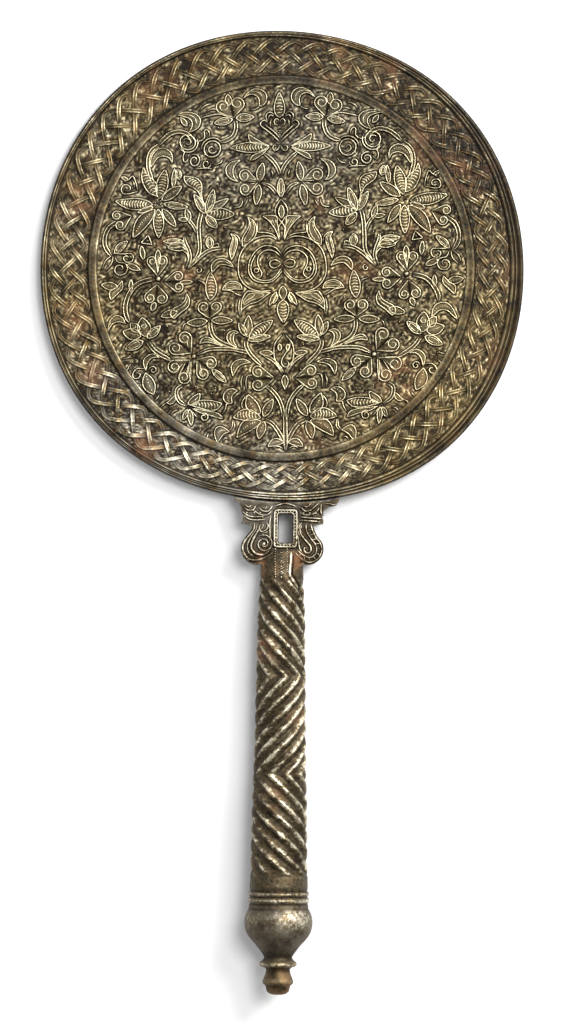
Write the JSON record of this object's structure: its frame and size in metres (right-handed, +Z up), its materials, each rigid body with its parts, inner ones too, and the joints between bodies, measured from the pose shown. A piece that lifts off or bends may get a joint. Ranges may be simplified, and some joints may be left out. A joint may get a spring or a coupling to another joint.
{
  "type": "steel hand mirror",
  "caption": "Round steel hand mirror with an arabesque carved back, plaited border, pierced scrolled neck, spiral fluted grip and turned pommel.",
  "frame": {"origin": "middle of the mirror's outline in plan, on the surface that it lies on", "axes": "+Z up; the mirror lies carved back up with its handle towards -Y; the plate dips about 1.8 degrees towards +Y, because the mirror rests on the plate's far edge and the pommel's bulb"},
  "size_m": [0.1936, 0.385, 0.0275],
  "materials": {
    "carved_steel": "aged carved steel, brown patina in the ground, worn bright on the relief",
    "forged_steel": "aged forged steel, worn bright on the ridges, rust in the hollows"
  },
  "bodies": {
    "root": {"mirror_disc": "carved_steel", "handle": "forged_steel"}
  },
  "joints": []
}
